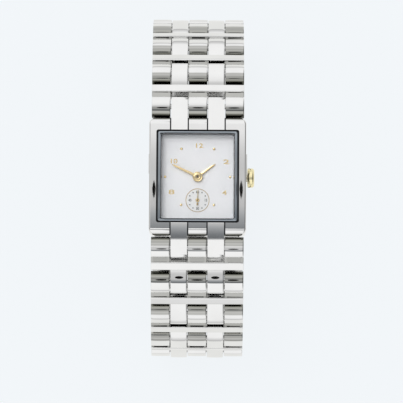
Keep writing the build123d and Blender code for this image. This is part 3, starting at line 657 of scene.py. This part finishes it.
opening_x, opening_y = 0.00880, 0.01025
window_x, window_y = 0.00850, 0.00995
inner_corner, outer_corner = 0.0004, 0.0005
seat_low, shelf_height = 0.03492, 0.03502
inner_edge = 0.00005
face_slack = 0.00004
ring_half_x, ring_half_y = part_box("bezel_ring")[1].x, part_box("bezel_ring")[1].y
ring_low, ring_high = (edge.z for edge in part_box("bezel_ring"))
ring_round, round_steps = 0.00025, 6
ring_layers = [(window_x, window_y, inner_corner, ring_low), (opening_x, opening_y, outer_corner, ring_low),
    (opening_x, opening_y, outer_corner, seat_low), (ring_half_x, ring_half_y, outer_corner, seat_low)]
for step in range(round_steps + 1):
    turn = math.pi / 2 * step / round_steps
    inset = ring_round * (1 - math.cos(turn))
    height = ring_high - ring_round * (1 - math.sin(turn))
    ring_layers.append((ring_half_x - inset, ring_half_y - inset, outer_corner, height))
ring_layers += [(opening_x + inner_edge, opening_y + inner_edge, inner_corner + inner_edge, ring_high),
    (opening_x, opening_y, inner_corner, ring_high - inner_edge), (opening_x, opening_y, inner_corner, shelf_height),
    (window_x, window_y, inner_corner, shelf_height)]
# Painted shade: the ring's steel is coloured darker and bluer than the frame's.
ring_painted_shade_steel = metal("ring_steel_painted_shade", (0.345, 0.39, 0.43), (0.43, 0.47, 0.51), 0.04, 0.09, 1800.0, 0.1, 0.04,
    0.0091, ring_high - face_slack)
ring = layered("bezel_ring_body", ring_layers, ring_painted_shade_steel, closed_ring=True)
finish_edges(ring, 0)
placed(ring, "case", "polished_steel", "bezel_ring")


# The crystal and its seal. A flat pane of mineral glass with a ground edge, pressed into a thin
# black gasket inside the ring.
mineral_glass = bpy.data.materials.new("mineral_glass")
mineral_glass.use_nodes = True
tree = mineral_glass.node_tree
body = tree.nodes["Principled BSDF"]
body.inputs["Metallic"].default_value = 0.0
body.inputs["Transmission Weight"].default_value = 1.0
body.inputs["IOR"].default_value = 1.5
smear = noise(tree, 260.0, 3.0)
tree.links.new(spread(tree, smear, 0.35, 0.7, 0.0, 0.02), body.inputs["Roughness"])
tree.links.new(grade(tree, smear, [(0.3, (0.985, 0.99, 0.99)), (0.7, (1, 1, 1))]), body.inputs["Base Color"])
in_shadow = node(tree, "ShaderNodeLightPath").outputs["Is Shadow Ray"]
tree.links.new(calc(tree, "SUBTRACT", 1.0, in_shadow), body.inputs["Alpha"])
pane_x, pane_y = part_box("crystal")[1].x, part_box("crystal")[1].y
pane_low, pane_high = (edge.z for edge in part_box("crystal"))
pane_edge = 0.00008
pane = layered("crystal_pane", [(pane_x - pane_edge, pane_y - pane_edge, inner_corner, pane_low),
    (pane_x, pane_y, inner_corner, pane_low + pane_edge), (pane_x, pane_y, inner_corner, pane_high - pane_edge),
    (pane_x - pane_edge, pane_y - pane_edge, inner_corner, pane_high)], mineral_glass)
placed(pane, "case", "mineral_crystal", "crystal")
rubber = plain("seal_rubber_finish", (0.016, 0.018, 0.022), (0.028, 0.031, 0.036), 0.75, 0.5, 2600.0, 0.5)
seal_low, seal_high = (edge.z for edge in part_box("crystal_gasket"))
seal = layered("crystal_seal", [
    (opening_x, opening_y, inner_corner, seal_low), (opening_x, opening_y, inner_corner, seal_high),
    (pane_x, pane_y, inner_corner, seal_high), (pane_x, pane_y, inner_corner, seal_low)], rubber, closed_ring=True)
placed(seal, "case", "seal_rubber", "crystal_gasket")


# The dial. A brass plate silvered pale, with gold dots and numerals set on it and the small
# seconds dial printed in white and black.
silvering = plain("dial_silvering", (0.93, 0.935, 0.96), (0.96, 0.965, 0.985), 0.5, 0.38, 5200.0, 0.08, 0.35)
dial_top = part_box("dial")[1].z
dial_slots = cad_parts["dial"].data.materials
dial_slots.clear()
dial_slots.append(silvering)
gold = metal("gold_plate_finish", (0.78, 0.60, 0.30), (0.90, 0.73, 0.42), 0.14, 0.26, 1500.0, 0.6, 0.05)
white_print = plain("white_print", (0.88, 0.885, 0.89), (0.93, 0.935, 0.94), 0.6, 0.5, 4000.0, 0.1, 0.3)
black_print = plain("black_print", (0.012, 0.012, 0.014), (0.03, 0.03, 0.034), 0.6, 0.45, 6000.0, 0.1, 0.3)


def lettering(name, words, size, x, y, z, thickness, stretch, material, weight=0.0):
    """Raised or printed figures, centred on a spot of the dial, as plain mesh."""
    curve = bpy.data.curves.new(name, "FONT")
    curve.body, curve.size, curve.align_x, curve.align_y = words, size, "CENTER", "CENTER"
    curve.extrude, curve.offset, curve.resolution_u = thickness / 2, weight, 4
    host = put(name + "_text", curve)
    mesh = frozen(host)
    bpy.data.objects.remove(host)
    mesh.transform(Matrix.Translation((x, y, z)) @ Matrix.Diagonal((stretch, 1, 1, 1)))
    mesh.name = name
    mesh.materials.clear()
    mesh.materials.append(material)
    return put(name, mesh)


numeral_size = 0.00150
numeral_lift = 0.00003
numeral_thickness = 0.00006
numeral_weight = 0.00003
for words, x, y, stretch in (("12", 0.00022, 0.00745, 1.4), ("2", 0.0068, 0.0036, 2.0), ("4", 0.0064, -0.0038, 1.5),
        ("8", -0.0062, -0.0037, 2.0), ("10", -0.0058, 0.0037, 1.35)):
    figure = lettering("numeral_" + words, words, numeral_size, x, y, dial_top + numeral_lift, numeral_thickness,
        stretch, gold, numeral_weight)
    placed(figure, "case", "gold_plate")

# Hour dots: small gold domes, four in a rectangle and two at the sides.
dots, given = geometry_group("hour_dots", {"Inner Column": 0.00388, "Row": 0.00672, "Outer Column": 0.00775,
    "Dot Radius": 0.00033, "Dot Height": 0.00015, "Dial Top": 0.03362})
dome = node(dots, "GeometryNodeMeshUVSphere", {"Segments": 20, "Rings": 12, "Radius": given["Dot Radius"]})
flat = calc(dots, "DIVIDE", given["Dot Height"], given["Dot Radius"])
dome = give(dots, "GeometryNodeTransform", {"Geometry": dome.outputs["Mesh"], "Scale": triple(dots, 1.0, 1.0, flat)})
four = node(dots, "GeometryNodeMeshGrid", {"Size X": calc(dots, "MULTIPLY", given["Inner Column"], 2.0),
    "Vertices X": 2, "Size Y": calc(dots, "MULTIPLY", given["Row"], 2.0), "Vertices Y": 2}).outputs["Mesh"]
two = node(dots, "GeometryNodeMeshGrid", {"Size X": calc(dots, "MULTIPLY", given["Outer Column"], 2.0),
    "Vertices X": 2, "Size Y": 0.0, "Vertices Y": 2}).outputs["Mesh"]
two = give(dots, "GeometryNodeMergeByDistance", {"Geometry": two, "Distance": 0.00001})
spots = dots.nodes.new("GeometryNodeJoinGeometry")
dots.links.new(four, spots.inputs[0])
dots.links.new(two, spots.inputs[0])
domes = give(dots, "GeometryNodeInstanceOnPoints", {"Points": spots.outputs[0], "Instance": dome})
lift = triple(dots, 0.0, 0.0, given["Dial Top"])
domes = give(dots, "GeometryNodeTransform", {"Geometry": domes, "Translation": lift})
domes = give(dots, "GeometryNodeRealizeInstances", {"Geometry": domes})
domes = give(dots, "GeometryNodeSetMaterial", {"Geometry": domes, "Material": gold})
node(dots, "NodeGroupOutput", {"Geometry": domes})
dots_piece = grown("hour_dots_body", dots, {})
finish_edges(dots_piece, 0)
placed(dots_piece, "case", "gold_plate", "hour_dots")


def turned(name, profile, material, x=0.0, y=0.0, z=0.0, steps=48):
    """A turned piece about the Z axis from (radius, height) points; it is closed where they meet the axis."""
    shape = bmesh.new()
    rings = []
    for radius, height in profile:
        if radius == 0:
            rings.append([shape.verts.new((x, y, z + height))])
        else:
            angles = [2 * math.pi * i / steps for i in range(steps)]
            circle = [(x + radius * math.cos(a), y + radius * math.sin(a), z + height) for a in angles]
            rings.append([shape.verts.new(place) for place in circle])
    if profile[0][0] and profile[-1][0]:
        rings.append(rings[0])
    for low, high in zip(rings, rings[1:]):
        for i in range(steps):
            j = (i + 1) % steps
            corners = [low[i % len(low)], low[j % len(low)], high[j % len(high)], high[i % len(high)]]
            shape.faces.new(list(dict.fromkeys(corners)))
    return meshed(name, shape, material)


# The small seconds dial: a white field, a fine rim, four figures and eight dots.
seconds_row = -0.0056
field_radius = 0.00268
rim_radius = 0.00284
print_lift = dial_top + 0.000004
field_hole, field_thickness, rim_thickness = 0.00030, 0.000006, 0.00003
figure_size, figure_lift, figure_thickness, figure_stretch, figure_weight = 0.00086, 0.00001, 0.00001, 0.88, 0.00002
field = turned("seconds_field", [(field_hole, 0), (field_hole, field_thickness), (field_radius, field_thickness),
    (field_radius, 0)], white_print, 0, seconds_row, print_lift, 64)
placed(field, "case", "silver_dial")
rim_gold = metal("rim_gold_finish", (0.42, 0.31, 0.17), (0.52, 0.39, 0.22), 0.25, 0.35, 1500.0, 0.6, 0.05)
rim = turned("seconds_rim", [(field_radius, 0), (field_radius, rim_thickness), (rim_radius, rim_thickness),
    (rim_radius, 0)], rim_gold, 0, seconds_row, print_lift, 64)
placed(rim, "case", "gold_plate")
for words, x, y in (("60", 0, 0.00198), ("15", 0.00196, 0), ("30", 0, -0.00200), ("45", -0.00178, 0)):
    figure = lettering("seconds_" + words, words, figure_size, x, seconds_row + y, print_lift + figure_lift,
        figure_thickness, figure_stretch, black_print, figure_weight)
    placed(figure, "case", "silver_dial")
marks, given = geometry_group("seconds_marks", {
    "Circle": 0.00212, "Mark Radius": 0.00015, "Mark Depth": 0.00001, "Row": seconds_row, "Height": 0.03364})
circle = node(marks, "GeometryNodeMeshCircle", {"Vertices": 12, "Radius": given["Circle"]}).outputs["Mesh"]
index = give(marks, "GeometryNodeInputIndex")
on_hour = calc(marks, "COMPARE", calc(marks, "MODULO", index, 3.0), 0.0, 0.1)
kept = give(marks, "GeometryNodeDeleteGeometry", {"Geometry": circle, "Selection": on_hour}, domain="POINT")
spot_mesh = give(marks, "GeometryNodeMeshCylinder", {"Vertices": 16, "Radius": given["Mark Radius"],
    "Depth": given["Mark Depth"]})
dabs = give(marks, "GeometryNodeInstanceOnPoints", {"Points": kept, "Instance": spot_mesh})
lift = triple(marks, 0.0, given["Row"], given["Height"])
dabs = give(marks, "GeometryNodeTransform", {"Geometry": dabs, "Translation": lift})
dabs = give(marks, "GeometryNodeRealizeInstances", {"Geometry": dabs})
dabs = give(marks, "GeometryNodeSetMaterial", {"Geometry": dabs, "Material": black_print})
node(marks, "NodeGroupOutput", {"Geometry": dabs})
placed(grown("seconds_marks_body", marks, {}), "case", "silver_dial")


# The hands. Stamped from thin brass and gold plated: slim tapered blades with a low ridge on a
# round hub; the small seconds hand has a counterweight. The arbor's dark end shows in each hub.
blade_thickness = 0.00014
blade_edge = blade_thickness * 0.45


def hand(name, stations, hub, material, lift, angle, x=0.0, y=0.0):
    """A ridged blade through (distance, half width) stations, with a turned hub, pointing at an angle from 12."""
    shape = bmesh.new()
    rows = []
    for distance, half in stations:
        rows.append([shape.verts.new(corner) for corner in (
            (-half, distance, 0), (half, distance, 0), (half, distance, blade_edge), (0, distance, blade_thickness),
            (-half, distance, blade_edge))])
    for low, high in zip(rows, rows[1:]):
        for i in range(5):
            j = (i + 1) % 5
            shape.faces.new((low[i], low[j], high[j], high[i]))
    shape.faces.new(list(reversed(rows[0])))
    shape.faces.new(rows[-1])
    blade = meshed(name, shape, material)
    blade.data.transform(Matrix.Translation((x, y, lift)) @ Matrix.Rotation(angle, 4, "Z"))
    centre = turned(name + "_hub", hub, material, x, y, lift)
    finish_edges(centre, 0)
    return blade, centre


minute_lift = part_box("minute_hand")[0].z
hour_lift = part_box("hour_hand")[0].z
seconds_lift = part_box("seconds_hand")[0].z
hour_blade = hand("hour_hand_blade", [(-0.0009, 0.00028), (0.0, 0.00036), (0.0046, 0.00020), (0.0052, 0.00006)],
    [(0.00057, 0), (0.00057, 0.00014), (0.00098, 0.00017), (0.00118, 0.00012), (0.00122, 0)], gold, hour_lift,
    math.radians(-54))
minute_blade = hand("minute_hand_blade", [(-0.0009, 0.00026), (0.0, 0.00036), (0.0060, 0.00022), (0.0068, 0.00006)],
    [(0.00024, 0), (0.00024, 0.00012), (0.00036, 0.00012), (0.00044, 0.00024), (0.00074, 0.00026), (0.00082, 0.00016),
    (0.00100, 0.00016), (0.00108, 0.00022), (0.00116, 0.00012), (0.00118, 0)], gold, minute_lift, math.radians(64.6))
seconds_blade = hand("seconds_hand_blade", [(-0.0012, 0.00020), (-0.0007, 0.00020), (-0.0005, 0.00007),
    (0.0, 0.00012), (0.0024, 0.00007), (0.0025, 0.00004)], [(0.00014, 0), (0.00014, 0.00012), (0.00024, 0.00020),
    (0.00036, 0.00020), (0.00044, 0.00010), (0.00046, 0)], gold, seconds_lift, math.radians(-2.5), 0, seconds_row)
for pieces, body, node_name in ((hour_blade, "hour_train", "hour_hand"),
        (minute_blade, "minute_train", "minute_hand"), (seconds_blade, "seconds_train", "seconds_hand")):
    for piece in pieces:
        placed(piece, body, "gold_plate")
    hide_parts(node_name)
arbor_steel = metal("arbor_steel_finish", (0.10, 0.085, 0.07), (0.15, 0.13, 0.11), 0.2, 0.3, 2000.0, 0.5, 0.05)
for name, radius, spot_y, height, body in (("centre_arbor_end", 0.00023, 0.0, minute_lift + 0.00026, "minute_train"),
        ("seconds_arbor_end", 0.00013, seconds_row, seconds_lift + 0.00021, "seconds_train")):
    cap = turned(name, [(0, 0), (radius * 0.7, 0), (radius, -0.00004), (radius, -0.0001), (0, -0.0001)], arbor_steel,
        0, spot_y, height, 20)
    placed(cap, body, "movement_steel")


# The crown, its tube and stem. A smooth gold-plated cap, turned with a rounded rim, is fixed on a
# brushed steel stem, which runs through a steel tube pressed into the case.
crown_low, crown_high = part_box("crown")
crown_middle = (crown_low.z + crown_high.z) / 2
crown_radius = crown_high.y
crown_round, crown_steps = 0.00055, 8
crown_back_edge = 0.00015
crown_dish, crown_dish_share = 0.00004, 0.6
crown_long = crown_high.x - crown_low.x
crown_profile = [(0, 0), (crown_radius - crown_back_edge, 0), (crown_radius, crown_back_edge)]
for step in range(crown_steps + 1):
    turn = math.pi / 2 * step / crown_steps
    inset = crown_round * (1 - math.cos(turn))
    crown_profile.append((crown_radius - inset, crown_long - crown_round * (1 - math.sin(turn))))
crown_profile += [(crown_radius * crown_dish_share, crown_long), (0, crown_long - crown_dish)]
crown_gold = metal("crown_gold_finish", (0.96, 0.83, 0.48), (0.99, 0.90, 0.57), 0.06, 0.14, 1500.0, 0.6, 0.04)
crown = turned("crown_cap", crown_profile, crown_gold, steps=96)
crown.data.transform(Matrix.Translation((crown_low.x, 0, crown_middle)) @ Matrix.Rotation(math.pi / 2, 4, "Y"))
finish_edges(crown, 0)
placed(crown, "crown", "gold_plate", "crown")
stem_edge = 0.00005
for name, body in (("crown_tube", "case"), ("winding_stem", "stem")):
    smoothed(name, name + "_body", stem_edge, brushed_steel, body)


# The case back, its seal and screws. A pressed steel plate with a brushed grain, held by four
# slotted screws; a black rubber seal lies in its step.
plate_edge, screw_edge = 0.00007, 0.00003
smoothed("case_back", "case_back_plate", plate_edge, brushed_steel, "case")
smoothed("case_back_gasket", "case_back_seal", 0, rubber, "case")
screw_steel = metal("screw_steel_finish", (0.50, 0.50, 0.50), (0.66, 0.66, 0.65), 0.12, 0.24, 2600.0, 0.8, 0.1)
smoothed("case_back_screws", "case_back_screw_heads", screw_edge, screw_steel, "case")


# The quartz movement. A brass main plate and wheels, a steel battery, a copper coil and a green
# circuit board, in a moulded holder that centres them in the case.
brass = metal("movement_brass_finish", (0.58, 0.42, 0.17), (0.72, 0.55, 0.26), 0.2, 0.36, 2600.0, 1.0, 0.12)
nickel = metal("movement_steel_finish", (0.52, 0.52, 0.51), (0.66, 0.66, 0.65), 0.16, 0.3, 2400.0, 1.0, 0.1)
wire = metal("coil_copper_finish", (0.42, 0.16, 0.06), (0.66, 0.30, 0.14), 0.25, 0.4, 9000.0, 0.02, 0.4)
holder = plain("holder_plastic_finish", (0.74, 0.74, 0.71), (0.80, 0.80, 0.77), 0.55, 0.4, 1800.0, 0.2)
board = plain("circuit_board_finish", (0.012, 0.10, 0.045), (0.02, 0.15, 0.07), 0.4, 0.25, 2200.0, 0.25)
for name, material, slot, body, bevel in (
        ("movement_plate", nickel, "movement_steel", "case", 0.00004),
        ("movement_holder", holder, "holder_plastic", "case", 0.00006),
        ("battery", nickel, "movement_steel", "case", 0.00006),
        ("drive_coil", wire, "coil_copper", "case", 0.00005),
        ("circuit_board", board, "board_green", "case", 0.00003),
        ("centre_wheel", brass, "movement_brass", "minute_train", 0),
        ("hour_wheel", brass, "movement_brass", "hour_train", 0),
        ("seconds_wheel", brass, "movement_brass", "seconds_train", 0)):
    smoothed(name, name + "_body", bevel, material, body)


# Pins. Plain ground steel rods, one through the knuckles of each joint, the case's two through its
# fingers; their ends sit just inside the bores.
pin_edge = 0.00006
smoothed("case_pins", "case_pin_rods", pin_edge, brushed_steel, "case")
for side in ("upper", "lower"):
    for number in range(2, 8):
        smoothed(f"{side}_pin_{number}", f"{side}_pin_{number}_rod", pin_edge, brushed_steel,
            f"{side}_link_{number}")


# The folding clasp. A polished cover closes over two pressed steel blades that fold flat on each
# other; two push buttons on springs let the cover go.
for name, material, slot, body, bevel in (
        ("clasp_cover", polished_steel, "polished_steel", "clasp_cover", 0.00008),
        ("clasp_middle_blade", brushed_steel, "brushed_steel", "clasp_middle_blade", 0.00006),
        ("clasp_inner_blade", brushed_steel, "brushed_steel", "clasp_inner_blade", 0.00006),
        ("clasp_blade_pins", nickel, "brushed_steel", "clasp_middle_blade", 0.00004),
        ("cover_pin", nickel, "brushed_steel", "lower_link_7", 0.00004),
        ("spring_bar", nickel, "brushed_steel", "clasp_inner_blade", 0.00004),
        ("right_clasp_button", polished_steel, "polished_steel", "right_clasp_button", 0.00006),
        ("left_clasp_button", polished_steel, "polished_steel", "left_clasp_button", 0.00006),
        ("clasp_button_springs", nickel, "brushed_steel", "clasp_cover", 0.00002)):
    smoothed(name, name + "_body", bevel, material, body)
